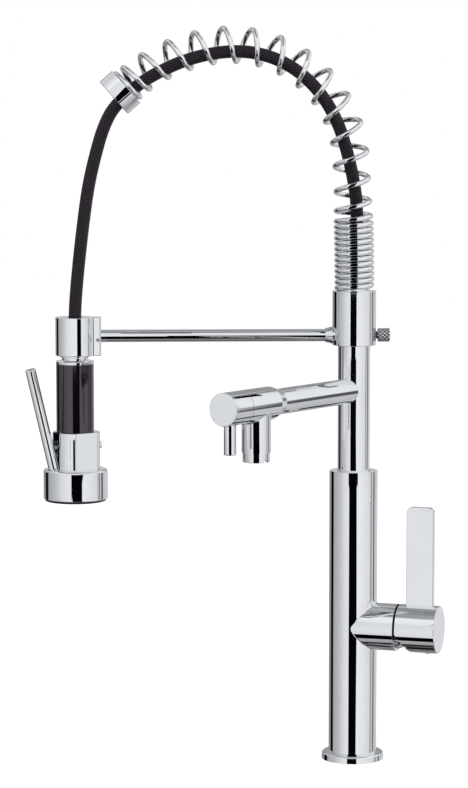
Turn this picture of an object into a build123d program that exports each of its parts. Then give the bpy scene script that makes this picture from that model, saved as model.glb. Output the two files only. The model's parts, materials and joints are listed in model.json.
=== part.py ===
"""Side spray kitchen faucet: a column with a side lever mixer, a swivelling pot filler spout with its own
quarter turn valve, and a pull down spray head on a braided hose that a chromed spring carries over an arch.

Frame: +Z up, millimetres, origin at the centre of the base flange's underside. The spring arch and the arm that
holds the spray head lie in the XZ plane, on the -X side.
"""

import os
from math import atan2, cos, degrees, hypot, pi, radians, sin, sqrt, tan

from build123d import *

os.makedirs("parts", exist_ok=True)

# ---------------------------------------------------------------- clearances
RUNNING = 0.05  # radial, between a turning piece and its bearing
SEATED = 0.05  # radial, between fixed pieces pushed together
FREE = 0.4  # between pieces that only pass each other

# ---------------------------------------------------------------- base and mixer body
FLANGE_D, FLANGE_H, FLANGE_ROUND = 53.4, 6.0, 1.6
GASKET_D, GASKET_W, GASKET_H = 48.0, 4.0, 2.0
BODY_D, BODY_WALL, BODY_TOP = 41.5, 3.0, 252.2
BASE_BORE_D = 31.8  # lower bore of the body, over the plug
BODY_CORE_Z = (92.0, 144.0)  # solid block between the lower and the upper bore
PLUG_H = 24.0
INLET_R, INLET_DEPTH, INLET_OUT = 4.5, 10.0, 9.7  # supply hoses, each side of the stud
INLET_WAY_R = 4.0  # the plug's passage past an inlet's thread
STUD_R, STUD_DEPTH = 3.4, 14.0
WATERWAY_R, WATERWAY_OFFSET, WATERWAY_RISE = 3.2, 8.0, -4.0  # up to the cartridge, from the valve's axis

VALVE_ANGLE = -20.5  # direction of the mixer valve's axis about Z
VALVE_Z = 117.0
HOUSING_D, HOUSING_END, HOUSING_FILLET = 40.8, 40.4, 1.2
CARTRIDGE_D, CARTRIDGE_SEAT, CARTRIDGE_END = 35.0, 11.2, 31.0
CARTRIDGE_NECK_D, CARTRIDGE_NECK_END = 19.0, 40.0
NUT_H = 6.4
PIVOT_X = 37.0  # lever pivot, from the column's axis
DOME_R, DOME_WALL, DOME_MOUTH_R = 18.9, 1.3, 12.0
CARRIER_D, CARRIER_FOOT, CARRIER_SLOT_FOOT = 14.0, 24.0, 31.0
STEM_SIDE, STEM_END = 8.0, 70.0
STEM_PIN_D = 3.0

LEVER_D, LEVER_START, LEVER_END = 41.2, 42.1, 77.1
LEVER_WALL, LEVER_FACE, LEVER_BOSS_D, LEVER_BOSS_START = 1.3, 3.0, 16.0, 56.4
LEVER_CUT_TOP, LEVER_CUT_FOOT = -2.2, 54.0  # height of the cut at the mouth, and where it meets the underside
BLADE_W, BLADE_T, BLADE_TOP, BLADE_AT, BLADE_ROUND = 24.2, 5.0, 222.6, 60.0, 5.0
GRUB_D, GRUB_AT, PLUG_D, PLUG_PROUD = 4.0, 67.0, 5.2, 0.8

# ---------------------------------------------------------------- swivelling column and spout
TUBE_D, TUBE_WALL, TUBE_FOOT, TUBE_TOP = 27.6, 2.6, 196.0, 403.0
RING_H, RING_GAP = 6.0, 0.4
BUSH_FOOT, TUBE_COLLAR_D, TUBE_COLLAR_H = 233.2, 34.0, 5.0
GUIDE_FOOT, BODY_STEP_D = 200.0, 32.4
O_RING_D, O_RING_Z = 1.8, (210.0, 218.0)

SPOUT_ANGLE = 232.0
SPOUT_Z = 321.4
ARM_D, ARM_WALL = 21.6, 2.3
VALVE_D, TAPER_START, TAPER_END = 27.6, 117.0, 128.0
KNOB_START, KNOB_END, KNOB_CAP, KNOB_GROOVE = 168.8, 192.4, 2.0, 0.3
OUTLET_AT, OUTLET_D, OUTLET_FOOT, OUTLET_WALL = 146.1, 24.0, 282.5, 2.6
AERATOR_D, AERATOR_FOOT, AERATOR_WALL, AERATOR_NOTCH = 22.4, 274.5, 1.6, (4.0, 2.2)
PIN_D, PIN_AT, PIN_FOOT = 10.2, 182.9, 283.7
HEADWORK_D, HEADWORK_START, SPINDLE_D = 19.0, 152.1, 8.0
GLAND_D, GLAND_L = 12.4, 4.0  # the headwork's nose inside the knob
KNOB_SCREW_D, KNOB_SCREW_HEAD_D, KNOB_SCREW_L, KNOB_RECESS_D, KNOB_RECESS = 4.0, 7.6, 12.0, 8.0, 4.0
OUTLET_FILLET = 1.5

# ---------------------------------------------------------------- arm bracket
COLLAR_D, COLLAR_Z, COLLAR_TOP_WALL = 37.3, (360.5, 407.2), 2.8
COLLAR_BUSH_WALL = 2.0
ROD_D, ROD_Z, ROD_BOSS_D, ROD_BOSS_END = 10.6, 369.0, 15.0, 25.0
REACH = 239.2  # column axis to spray head axis
SLEEVE_D, SLEEVE_Z, SLEEVE_BORE_D, SLEEVE_TOP_WALL = 33.0, (352.4, 385.2), 26.0, 5.5
LUG_END, LUG_W, LUG_FILLET = 22.4, 15.0, 3.0
SET_SCREW_D, SET_SCREW_OUT, SET_SCREW_Z = 3.0, 19.6, 366.0  # out from the spray head's axis
KNURL_D, KNURL_L, KNURLS, THUMB_NECK_D, THUMB_NECK_L, THUMB_THREAD_D = 11.0, 10.0, 24, 6.5, 1.3, 6.0

# ---------------------------------------------------------------- spring arch and hose
WIRE_D = 3.8
CLOSED_PITCH, CLOSED_TURNS, OPEN_TURNS, END_TURNS = 4.75, 11.6, 16, 0.45
COIL_R_CLOSED, COIL_R_OPEN = 15.2, 14.3  # coil radius at the wire's centre, stacked and stretched
SPREAD_TURNS, GATHER_TURNS = 3.2, 2.3  # turns over which the pitch opens and closes again
SPRING_START = 2.1  # wire centre above the seat
ARCH_ARCS = ((1900.0, 3.4), (102.15, 96.8), (140.9, 131.5))  # radius, and direction from vertical at its end
SEAT_TOP, SEAT_D = 421.0, 25.8
FERRULE_D, FERRULE_L, FERRULE_CUP, FERRULE_PLATE = 36.0, 14.3, 3.6, 3.0
HOSE_D, HOSE_BORE_D = 10.8, 6.0
HOSE_EXIT_OFFSET = 5.6  # hose off the ferrule's centre, towards the inside of the arch
CRIMP_D, CRIMP_L = 17.0, 22.0
# route of the hose as (distance from the column's axis, height): first inside the spring, then hanging free
HOSE_ARCH = (
    (0.0, 400.0), (0.0, 425.0), (-1.0, 450.0), (-2.4, 476.0), (0.6, 500.0), (6.6, 526.0), (14.6, 551.0),
    (27.8, 573.6), (45.6, 592.2), (67.6, 605.0), (92.6, 610.9), (118.4, 609.6), (143.8, 603.4), (166.4, 593.4),
    (184.1, 582.9), (196.1, 571.9),
)
HOSE_FREE = (
    (205.7, 563.1), (214.6, 545.0), (221.4, 521.0), (227.0, 497.0), (231.4, 466.0), (235.3, 433.0),
    (238.0, 405.0), (239.2, 385.0), (239.2, 358.0),
)

# ---------------------------------------------------------------- spray head (its own axis is at REACH)
TRIGGER_ANGLE = 211.5
DOCK_TOP, DOCK_TOP_D, DOCK_FOOT_D = 372.0, 18.4, 22.6
NECK_STEP_D, NECK_STEP_Z, NECK_D, NECK_FOOT = 25.8, (350.4, 351.2), 22.4, 348.4
CRIMP_FOOT, CRIMP_SHOULDER = 351.0, 356.0  # crimp on the hose's end
GRIP_RING_D, GRIP_RING_Z, GRIP_RING_BEVEL = 32.6, (345.3, 348.1), 0.8
GRIP_D, GRIP_FOOT = 32.2, 286.9
GRIP_TUBE_D, GRIP_TUBE_BORE, GRIP_NECK_D = 19.6, 12.0, 15.0
HEAD_D, HEAD_BACK, HEAD_FLATS, HEAD_FOOT = 40.6, 0.8, 30.4, 254.9
HEAD_BASE_GAP, HEAD_BASE_Z = 0.1, (244.0, 252.4)  # gap to the bell's wall
SLOT_W, SLOT_FLOOR = 10.2, 13.6
BELL_D, BELL_WALL, BELL_FOOT, BELL_ROUND = 55.0, 2.2, 229.4, 2.0
RIM_INSET, RIM_WALL, RIM_FOOT, RIM_LIP = 1.1, 1.7, 227.4, 3.4  # in from the bell's side; wall inside the bell
PLATE_FOOT = 228.6
NOZZLE_ROWS, NOZZLE_FIRST, NOZZLE_EDGE = (6, 12, 18), 6.5, 5.1  # tips a ring, inner ring, outer ring to the rim
NOZZLE_D, NOZZLE_L = 2.2, 1.0
CENTRE_SCREW_D = 6.0
TRIGGER_D, TRIGGER_LEAN, TRIGGER_TOP, TRIGGER_PIVOT = 9.0, 14.5, 342.5, (20.0, 249.8)
PIVOT_PIN_D, PIVOT_PIN_L, TRIGGER_EYE_W = 3.0, 17.0, 7.6
VALVE_PIN_D, VALVE_PIN_Z, VALVE_PIN_END, POPPET_D = 4.0, 274.0, 21.1, 7.6
REAR_CAP_D, REAR_CAP_PROUD, VALVE_CHAMBER_D = 6.8, 4.2, 9.0


# ---------------------------------------------------------------- shared shapes
def turned(*outline, rounds=()):
    """A solid of revolution about Z from (radius, z) corners; rounds holds (corner number, radius) pairs."""
    face = Plane.XZ * make_face(Polyline(*outline, close=True))
    for corner, radius in rounds:
        place = Vector(outline[corner][0], 0, outline[corner][1])
        face = fillet(min(face.vertices(), key=lambda v: (Vector(*v) - place).length), radius)
    return revolve(face, Axis.Z)


def tube(radius, bore, foot, top):
    """A plain sleeve about Z."""
    return turned((bore, foot), (radius, foot), (radius, top), (bore, top))


def rod(radius, foot, top):
    """A plain round bar about Z."""
    return Pos(0, 0, (foot + top) / 2) * Cylinder(radius, top - foot)


def heading(angle, height, out=0.0):
    """A place whose local z runs out from the column at this angle, and whose local x points up."""
    away = Vector(cos(radians(angle)), sin(radians(angle)), 0)
    return Plane(origin=away * out + Vector(0, 0, height), x_dir=(0, 0, 1), z_dir=away).location


def seams(solid):
    """The curved edges where two round bars of this solid run into each other."""
    return solid.edges().filter_by(lambda edge: edge.geom_type not in (GeomType.LINE, GeomType.CIRCLE))


VALVE_AXIS = heading(VALVE_ANGLE, VALVE_Z)
SPOUT_AXIS = heading(SPOUT_ANGLE, SPOUT_Z)
ROD_AXIS = heading(180.0, ROD_Z)
HEAD = Pos(-REACH, 0, 0) * Rot(0, 0, TRIGGER_ANGLE)  # local x points at the trigger


def sideways(height):
    """A place on the spray head's axis whose local z points at the trigger."""
    return HEAD * Plane(origin=(0, 0, height), x_dir=(0, 0, 1), z_dir=(1, 0, 0)).location


# ---------------------------------------------------------------- base and mixer body
def base_pieces():
    """Flange, gasket, threaded plug, cast body with its valve housing, and the swivel's bearings."""
    bore, base_bore = BODY_D / 2 - BODY_WALL, BASE_BORE_D / 2
    groove = (GASKET_D / 2 - GASKET_W / 2, GASKET_D / 2 + GASKET_W / 2)
    flange = turned(
        (base_bore + SEATED, 0), (FLANGE_D / 2, 0), (FLANGE_D / 2, FLANGE_H), (base_bore + SEATED, FLANGE_H),
        rounds=((2, FLANGE_ROUND),),
    ) - tube(groove[1], groove[0], 0, GASKET_H)
    gasket = tube(groove[1] - SEATED, groove[0] + SEATED, 0, GASKET_H)

    plug = rod(base_bore - SEATED, 0, PLUG_H) - rod(STUD_R, 0, STUD_DEPTH)
    for side in (-1, 1):
        plug -= Pos(side * INLET_OUT, 0, 0) * rod(INLET_R, 0, INLET_DEPTH)
        plug -= Pos(side * INLET_OUT, 0, 0) * rod(INLET_WAY_R, 0, PLUG_H)

    body = rod(BODY_D / 2, FLANGE_H, BODY_TOP) + VALVE_AXIS * rod(HOUSING_D / 2, 0, HOUSING_END)
    body = fillet(seams(body), HOUSING_FILLET)
    body -= rod(base_bore, FLANGE_H, BODY_CORE_Z[0])
    body -= rod(BODY_STEP_D / 2, BODY_CORE_Z[1], GUIDE_FOOT)
    body -= rod(bore, GUIDE_FOOT, BODY_TOP)
    body -= VALVE_AXIS * rod(CARTRIDGE_D / 2 + FREE, CARTRIDGE_SEAT, HOUSING_END)
    for side in (-1, 1):  # hot and cold ways up to the cartridge's seat
        rise = VALVE_AXIS * Pos(WATERWAY_RISE, side * WATERWAY_OFFSET, WATERWAY_R)
        body -= rise * Rot(0, -90, 0) * rod(WATERWAY_R, 0, VALVE_Z + WATERWAY_RISE - BODY_CORE_Z[0])
        body -= rise * rod(WATERWAY_R, 0, CARTRIDGE_SEAT - WATERWAY_R)
    body -= VALVE_AXIS * Pos(WATERWAY_OFFSET, 0, 0) * rod(WATERWAY_R, 0, CARTRIDGE_SEAT)
    body -= rod(WATERWAY_R, VALVE_Z + WATERWAY_OFFSET, BODY_CORE_Z[1])

    ring = turned(
        (TUBE_D / 2 + RING_GAP, BODY_TOP - RING_H), (bore - SEATED, BODY_TOP - RING_H),
        (bore - SEATED, BODY_TOP), (TUBE_D / 2 + RING_GAP, BODY_TOP), rounds=((3, 0.4),),
    )
    bush = tube(bore - SEATED, TUBE_D / 2 + RUNNING, BUSH_FOOT, BODY_TOP - RING_H)
    guide_top = BUSH_FOOT - TUBE_COLLAR_H - FREE
    guide = tube(bore - SEATED, TUBE_D / 2 + RUNNING, GUIDE_FOOT, guide_top)
    return {
        "base_flange": flange, "base_gasket": gasket, "base_plug": plug, "mixer_body": body,
        "retaining_ring": ring, "swivel_bush": bush, "swivel_guide": guide,
    }


def mixer_valve():
    """Cartridge with its nut, the dome over it, and the stem that the lever turns and tilts."""
    reach = CARTRIDGE_D / 2
    neck = CARTRIDGE_NECK_D / 2
    carrier = CARRIER_D / 2
    cartridge = turned(
        (0, CARTRIDGE_SEAT), (reach, CARTRIDGE_SEAT), (reach, CARTRIDGE_END), (neck, CARTRIDGE_END),
        (neck, CARTRIDGE_NECK_END), (carrier + RUNNING, CARTRIDGE_NECK_END),
        (carrier + RUNNING, CARRIER_FOOT), (0, CARRIER_FOOT),
    )
    nut = tube(reach + FREE - SEATED, neck + SEATED, CARTRIDGE_END, CARTRIDGE_END + NUT_H)

    mouth = sqrt(DOME_R**2 - DOME_MOUTH_R**2)
    inner = DOME_R - DOME_WALL
    seat = CARTRIDGE_END + NUT_H - PIVOT_X
    inner_mouth = sqrt(inner**2 - DOME_MOUTH_R**2)
    half = radians(45)
    shell = make_face(Curve() + [
        Line((reach + FREE - SEATED, seat), (reach + FREE - SEATED, HOUSING_END - PIVOT_X)),
        Line((reach + FREE - SEATED, HOUSING_END - PIVOT_X),
             (sqrt(DOME_R**2 - (HOUSING_END - PIVOT_X)**2), HOUSING_END - PIVOT_X)),
        ThreePointArc((sqrt(DOME_R**2 - (HOUSING_END - PIVOT_X)**2), HOUSING_END - PIVOT_X),
                      (DOME_R * cos(half * 0.7), DOME_R * sin(half * 0.7)), (DOME_MOUTH_R, mouth)),
        Line((DOME_MOUTH_R, mouth), (DOME_MOUTH_R, inner_mouth)),
        ThreePointArc((DOME_MOUTH_R, inner_mouth), (inner * cos(half * 0.5), inner * sin(half * 0.5)),
                      (sqrt(inner**2 - seat**2), seat)),
        Line((sqrt(inner**2 - seat**2), seat), (reach + FREE - SEATED, seat)),
    ])
    dome = Pos(0, 0, PIVOT_X) * revolve(Plane.XZ * shell, Axis.Z)

    carrier_solid = rod(carrier, CARRIER_FOOT + FREE, CARTRIDGE_NECK_END)
    slot_depth = CARTRIDGE_NECK_END - CARRIER_SLOT_FOOT
    carrier_solid -= Pos(0, 0, CARRIER_SLOT_FOOT + slot_depth / 2) * Box(
        CARRIER_D, STEM_SIDE + 2 * RUNNING, slot_depth
    )
    pin_axis = Pos(0, 0, PIVOT_X) * Rot(90, 0, 0)
    carrier_solid -= pin_axis * Cylinder(STEM_PIN_D / 2, CARRIER_D)
    stem_pin = pin_axis * Cylinder(STEM_PIN_D / 2, CARRIER_D - 2 * FREE)
    stem = Pos(0, 0, (PIVOT_X + STEM_END) / 2) * Box(STEM_SIDE, STEM_SIDE, STEM_END - PIVOT_X)
    stem += pin_axis * Cylinder(STEM_SIDE / 2, STEM_SIDE)
    stem -= pin_axis * Cylinder(STEM_PIN_D / 2 + RUNNING, STEM_SIDE)
    pieces = {
        "cartridge": cartridge, "cartridge_nut": nut, "dome_cover": dome, "stem_carrier": carrier_solid,
        "stem_pin": stem_pin, "lever_stem": stem,
    }
    return {name: VALVE_AXIS * solid for name, solid in pieces.items()}


def mixer_lever():
    """Hollow cap with an upright blade, its grub screw and the plug that covers the screw."""
    radius = LEVER_D / 2
    cap = turned(
        (LEVER_BOSS_D / 2, LEVER_END - LEVER_FACE), (radius - LEVER_WALL, LEVER_END - LEVER_FACE),
        (radius - LEVER_WALL, LEVER_START), (radius, LEVER_START), (radius, LEVER_END), (0, LEVER_END),
        (0, LEVER_BOSS_START), (LEVER_BOSS_D / 2, LEVER_BOSS_START), rounds=((4, 0.8), (3, 0.3)),
    )
    blade_h = BLADE_TOP - VALVE_Z
    blade = Pos(blade_h / 2, 0, BLADE_AT) * Box(blade_h, BLADE_T, BLADE_W)
    corners = blade.edges().filter_by(Axis.Y).group_by(Axis.X)[-1]
    blade = fillet(corners, BLADE_ROUND)
    rim = blade.edges().filter_by(lambda edge: edge.center().X > 1)
    blade = fillet(rim.filter_by(Axis.Y, reverse=True), 0.7)
    cap += blade - rod(radius - 0.5, 0, LEVER_END + 1)
    run = LEVER_CUT_FOOT - LEVER_START
    drop = -radius - LEVER_CUT_TOP
    wedge = extrude(
        Plane.XZ * make_face(Polyline(
            (LEVER_CUT_TOP, LEVER_START), (LEVER_CUT_TOP + drop, LEVER_CUT_FOOT),
            (LEVER_CUT_TOP + 2 * drop, LEVER_START + 2 * run), (-2 * radius, LEVER_START - run),
            (LEVER_CUT_TOP - drop, LEVER_START - run), close=True,
        )),
        amount=radius + 1, both=True,
    )
    cap -= wedge
    cap -= Pos(0, 0, (LEVER_BOSS_START + STEM_END) / 2) * Box(
        STEM_SIDE + 2 * SEATED, STEM_SIDE + 2 * SEATED, STEM_END - LEVER_BOSS_START + 2 * SEATED
    )
    across = Pos(0, 0, GRUB_AT) * Rot(0, -90, 0)
    cap -= across * rod(GRUB_D / 2, STEM_SIDE / 2, radius)
    cap -= across * rod(PLUG_D / 2, radius - LEVER_WALL - 0.2, radius)
    grub = across * rod(GRUB_D / 2 - SEATED, STEM_SIDE / 2 + SEATED, LEVER_BOSS_D / 2 + 1)
    plug = across * turned(
        (0, radius - LEVER_WALL - 1), (PLUG_D / 2 - SEATED, radius - LEVER_WALL - 0.2 + SEATED),
        (PLUG_D / 2 - SEATED, radius + PLUG_PROUD), (0, radius + PLUG_PROUD), rounds=((2, 0.5),),
    )
    pieces = {"mixer_lever": cap, "lever_grub_screw": grub, "screw_plug": plug}
    return {name: VALVE_AXIS * solid for name, solid in pieces.items()}


# ---------------------------------------------------------------- swivelling column and spout
def column_pieces():
    """The swivelling tube with its bearing collar and O-ring grooves, and the brazed spout arm."""
    radius, bore = TUBE_D / 2, TUBE_D / 2 - TUBE_WALL
    collar_top = BUSH_FOOT - FREE / 2
    column = tube(radius, bore, TUBE_FOOT, TUBE_TOP)
    column += tube(TUBE_COLLAR_D / 2, bore, collar_top - TUBE_COLLAR_H, collar_top)
    rings = []
    for height in O_RING_Z:
        half = O_RING_D / 2
        column -= tube(radius, radius - O_RING_D - 0.1, height - half - 0.1, height + half + 0.1)
        rings.append(Pos(0, 0, height) * Torus(radius - half, half))
    column -= SPOUT_AXIS * rod(ARM_D / 2 - ARM_WALL, 0, radius)
    arm = tube(ARM_D / 2, ARM_D / 2 - ARM_WALL, radius - 4, TAPER_START + 4)
    arm = SPOUT_AXIS * arm - rod(radius, TUBE_FOOT, TUBE_TOP)
    return {"upper_tube": column, "spout_arm": arm, "swivel_o_rings": Compound(children=rings)}


def spout_valve():
    """Valve body with its outlet, aerator, ceramic headwork, and the end knob with its pin."""
    radius, arm = VALVE_D / 2, ARM_D / 2
    chamber = radius - OUTLET_WALL
    drop = SPOUT_Z - OUTLET_FOOT
    outline = [
        (arm - ARM_WALL, TAPER_START), (arm, TAPER_START), (radius, TAPER_END), (radius, KNOB_START - KNOB_GROOVE),
        (HEADWORK_D / 2 + SEATED, KNOB_START - KNOB_GROOVE), (HEADWORK_D / 2 + SEATED, HEADWORK_START),
        (chamber, HEADWORK_START), (chamber, TAPER_END), (arm - ARM_WALL, TAPER_START + 6),
    ]
    body = turned(*outline, rounds=((2, 6.0),))
    down = Pos(0, 0, OUTLET_AT) * Rot(0, -90, 0)
    body += down * rod(OUTLET_D / 2, 0, drop) - rod(chamber, TAPER_START, KNOB_START)
    body = fillet(seams(body), OUTLET_FILLET)
    body -= rod(chamber, TAPER_END, HEADWORK_START)
    body -= Pos(0, 0, TAPER_START - 0.01) * rod(arm + SEATED, 0, 4.02)
    body -= down * rod(OUTLET_D / 2 - OUTLET_WALL, 0, drop)
    body -= rod(HEADWORK_D / 2 + SEATED, HEADWORK_START, KNOB_START)

    foot = SPOUT_Z - AERATOR_FOOT
    housing = turned(
        (OUTLET_D / 2 - OUTLET_WALL - SEATED, drop - 6), (OUTLET_D / 2 - OUTLET_WALL - SEATED, drop),
        (AERATOR_D / 2, drop), (AERATOR_D / 2, foot), (AERATOR_D / 2 - AERATOR_WALL - 0.6, foot),
        (AERATOR_D / 2 - AERATOR_WALL - 0.6, drop - 6), rounds=((3, 0.5),),
    )
    for turn in (0, 180):  # notches for the key that unscrews it
        housing -= Rot(0, 0, turn + 100) * Pos(AERATOR_D / 2, 0, foot) * Box(
            6, AERATOR_NOTCH[0], 2 * AERATOR_NOTCH[1]
        )
    insert_r = AERATOR_D / 2 - AERATOR_WALL - 0.6 - SEATED
    insert = turned((0, drop - 5), (insert_r, drop - 5), (insert_r, foot - 1.5), (0, foot - 1.5))

    spindle_r = SPINDLE_D / 2
    headwork = tube(HEADWORK_D / 2, spindle_r + RUNNING, HEADWORK_START, KNOB_START - KNOB_GROOVE)
    headwork += tube(GLAND_D / 2, spindle_r + RUNNING, KNOB_START - KNOB_GROOVE, KNOB_START + GLAND_L)
    spindle = rod(spindle_r, OUTLET_AT + 8, KNOB_END - KNOB_CAP - 6)

    end, recess = KNOB_END - KNOB_CAP - KNOB_GROOVE, KNOB_RECESS_D / 2
    knob = turned(
        (GLAND_D / 2 + FREE, KNOB_START), (radius, KNOB_START), (radius, end), (recess, end),
        (recess, end - KNOB_RECESS), (KNOB_SCREW_D / 2 + FREE / 2, end - KNOB_RECESS),
        (KNOB_SCREW_D / 2 + FREE / 2, KNOB_END - KNOB_CAP - 6), (spindle_r + SEATED, KNOB_END - KNOB_CAP - 6),
        (spindle_r + SEATED, KNOB_START + GLAND_L + FREE), (GLAND_D / 2 + FREE, KNOB_START + GLAND_L + FREE),
        rounds=((1, 0.2), (2, 0.3)),
    )
    screw = rod(KNOB_SCREW_D / 2, end - KNOB_SCREW_L, end - KNOB_RECESS)
    screw += rod(KNOB_SCREW_HEAD_D / 2, end - KNOB_RECESS, end - 1)
    spindle -= rod(KNOB_SCREW_D / 2 + SEATED, end - KNOB_SCREW_L - 0.2, end)
    cap = turned(
        (0, end + KNOB_GROOVE), (radius, end + KNOB_GROOVE), (radius, KNOB_END), (0, KNOB_END),
        rounds=((2, 0.6),),
    ) + rod(recess - 2 * SEATED, end - 0.5, end + KNOB_GROOVE)
    pin_down = Pos(0, 0, PIN_AT) * Rot(0, -90, 0)
    length = SPOUT_Z - PIN_FOOT
    pin = pin_down * turned(
        (0, radius - 3), (PIN_D / 2 - 1.5, radius - 3), (PIN_D / 2 - 1.5, radius - 0.6), (PIN_D / 2, radius - 0.6),
        (PIN_D / 2, length), (0, length), rounds=((4, 0.9),),
    )
    knob -= pin_down * rod(PIN_D / 2 - 1.5 + SEATED, radius - 3 - SEATED, radius + 1)
    pin -= rod(radius, KNOB_START, KNOB_END) - pin_down * rod(PIN_D / 2 - 1.5, radius - 3, radius + 1)
    pieces = {
        "spout_valve_body": body, "aerator_housing": down * housing, "aerator_insert": down * insert,
        "valve_headwork": headwork, "valve_spindle": spindle, "spout_knob": knob, "knob_screw": screw,
        "knob_cap": cap, "knob_pin": pin,
    }
    return {name: SPOUT_AXIS * solid for name, solid in pieces.items()}


# ---------------------------------------------------------------- arm bracket
def bracket_pieces():
    """Collar on the column, its bush, the arm rod, the spray head's sleeve, and the knurled thumb screw."""
    radius, tube_r = COLLAR_D / 2, TUBE_D / 2
    bore = tube_r + RUNNING + COLLAR_BUSH_WALL
    shelf = COLLAR_Z[1] - COLLAR_TOP_WALL
    thread = SEAT_D / 2 - 0.4
    collar = turned(
        (bore + SEATED, COLLAR_Z[0]), (radius, COLLAR_Z[0]), (radius, COLLAR_Z[1]), (thread + SEATED, COLLAR_Z[1]),
        (thread + SEATED, shelf), (bore + SEATED, shelf), rounds=((1, 0.5), (2, 0.6)),
    )
    boss = turned(
        (0, radius - 2), (ROD_BOSS_D / 2, radius - 2), (ROD_BOSS_D / 2, radius), (ROD_D / 2 + 0.5, ROD_BOSS_END),
        (0, ROD_BOSS_END),
    )
    rod_start = bore + 0.5
    collar += ROD_AXIS * boss - rod(bore + SEATED, COLLAR_Z[0], shelf)
    collar -= ROD_AXIS * rod(ROD_D / 2 + SEATED, rod_start, ROD_BOSS_END)
    thumb_axis = heading(0, ROD_Z)
    collar -= thumb_axis * rod(THUMB_THREAD_D / 2 + RUNNING, bore, radius + 1)
    bush = turned(
        (tube_r + RUNNING, COLLAR_Z[0] + 1), (bore, COLLAR_Z[0] + 1), (bore, shelf), (tube_r - TUBE_WALL, shelf),
        (tube_r - TUBE_WALL, TUBE_TOP + 0.1), (tube_r + RUNNING, TUBE_TOP + 0.1),
    )

    ring, lug_face = SLEEVE_D / 2, REACH - LUG_END
    sleeve_h = SLEEVE_Z[1] - SLEEVE_Z[0]
    outline = Circle(ring) + Pos(LUG_END / 2, 0) * Rectangle(LUG_END, LUG_W)
    roots = outline.vertices().group_by(Axis.X)[0]
    outline = fillet(roots, LUG_FILLET)
    outline = fillet(outline.vertices().group_by(Axis.X)[-1], 1.2)
    sleeve = Pos(-REACH, 0, SLEEVE_Z[0]) * extrude(outline, amount=sleeve_h)
    rims = sleeve.edges().group_by(Axis.Z)
    sleeve = fillet(rims[-1] + rims[0], 0.5)
    centre = Pos(-REACH, 0, 0)
    shelf_z = SLEEVE_Z[1] - SLEEVE_TOP_WALL
    sleeve -= centre * rod(SLEEVE_BORE_D / 2, SLEEVE_Z[0], shelf_z)
    sleeve -= centre * rod(HOSE_D / 2 + 1.1, shelf_z, SLEEVE_Z[1])
    rod_end = REACH - SLEEVE_BORE_D / 2 - 1.6
    sleeve -= ROD_AXIS * rod(ROD_D / 2 + SEATED, lug_face - 1, rod_end)
    screw_axis = Pos(SET_SCREW_OUT - REACH, 0, SET_SCREW_Z) * Rot(90, 0, 0)
    sleeve -= screw_axis * rod(SET_SCREW_D / 2 + SEATED, ROD_D / 2 - 1.4, LUG_W / 2 + 1)
    set_screw = screw_axis * rod(SET_SCREW_D / 2, ROD_D / 2 - 1.4, LUG_W / 2 - 0.3)
    arm_rod = ROD_AXIS * rod(ROD_D / 2, rod_start, rod_end) - screw_axis * rod(
        SET_SCREW_D / 2 + SEATED, ROD_D / 2 - 1.4, LUG_W
    )
    liner = centre * turned(
        (DOCK_FOOT_D / 2 + FREE, SLEEVE_Z[0]), (SLEEVE_BORE_D / 2 - SEATED, SLEEVE_Z[0]),
        (SLEEVE_BORE_D / 2 - SEATED, shelf_z), (HOSE_D / 2 + 1.1, shelf_z), (HOSE_D / 2 + 1.1, DOCK_TOP + 1),
        (DOCK_TOP_D / 2 + FREE, DOCK_TOP + 1), (DOCK_TOP_D / 2 + FREE, DOCK_TOP),
    )

    knob_start = radius + FREE + THUMB_NECK_L
    flutes = Circle(KNURL_D / 2) - [
        Rot(0, 0, turn * 360 / KNURLS) * Pos(KNURL_D / 2 + 0.12, 0) * Circle(0.42) for turn in range(KNURLS)
    ]
    thumb = Pos(0, 0, knob_start) * extrude(flutes, amount=KNURL_L)
    thumb += rod(THUMB_NECK_D / 2, radius + FREE, knob_start)
    thumb += rod(THUMB_THREAD_D / 2, bore + 0.6, radius + FREE)
    return {
        "collar": collar, "collar_bush": bush, "arm_rod": arm_rod, "holder_sleeve": sleeve,
        "sleeve_liner": liner, "holder_set_screw": set_screw, "thumb_screw": thumb_axis * thumb,
    }


# ---------------------------------------------------------------- spring arch and hose
def arch_point(distance):
    """The arch's centre line at a distance along it: place, direction, and the way out of the bend."""
    r, z, lean = 0.0, COLLAR_Z[1], 0.0
    for radius, end in ARCH_ARCS:
        end = radians(end)
        span = radius * (end - lean)
        turn = lean + min(max(distance, 0), span) / radius
        r, z = r + radius * (cos(lean) - cos(turn)), z + radius * (sin(turn) - sin(lean))
        if distance <= span:
            lean = turn
            distance = 0
            break
        lean = end
        distance -= span
    place = Vector(-(r + distance * sin(lean)), 0, z + distance * cos(lean))
    return place, Vector(-sin(lean), 0, cos(lean)), Vector(cos(lean), 0, sin(lean))


def smooth_step(share):
    """0 to 1 with level ends."""
    share = min(max(share, 0.0), 1.0)
    return share * share * (3 - 2 * share)


def openness(turn):
    """How far the pitch is stretched at this turn of the open part: 0 closed, 1 open."""
    return smooth_step(turn / SPREAD_TURNS) * smooth_step((OPEN_TURNS - turn) / GATHER_TURNS)


def arch_length():
    """Length of the arch's centre line from the seat to the ferrule's cup."""
    length, lean = 0.0, 0.0
    for radius, end in ARCH_ARCS:
        length += radius * (radians(end) - lean)
        lean = radians(end)
    return length


STEPS = 64  # steps a turn when the pitch is summed
OPEN_START = SPRING_START + CLOSED_PITCH * CLOSED_TURNS
OPEN_SHARE = sum(openness((step + 0.5) / STEPS) for step in range(OPEN_TURNS * STEPS)) / STEPS
OPEN_PITCH = CLOSED_PITCH + (arch_length() - OPEN_START - OPEN_TURNS * CLOSED_PITCH) / OPEN_SHARE


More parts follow.
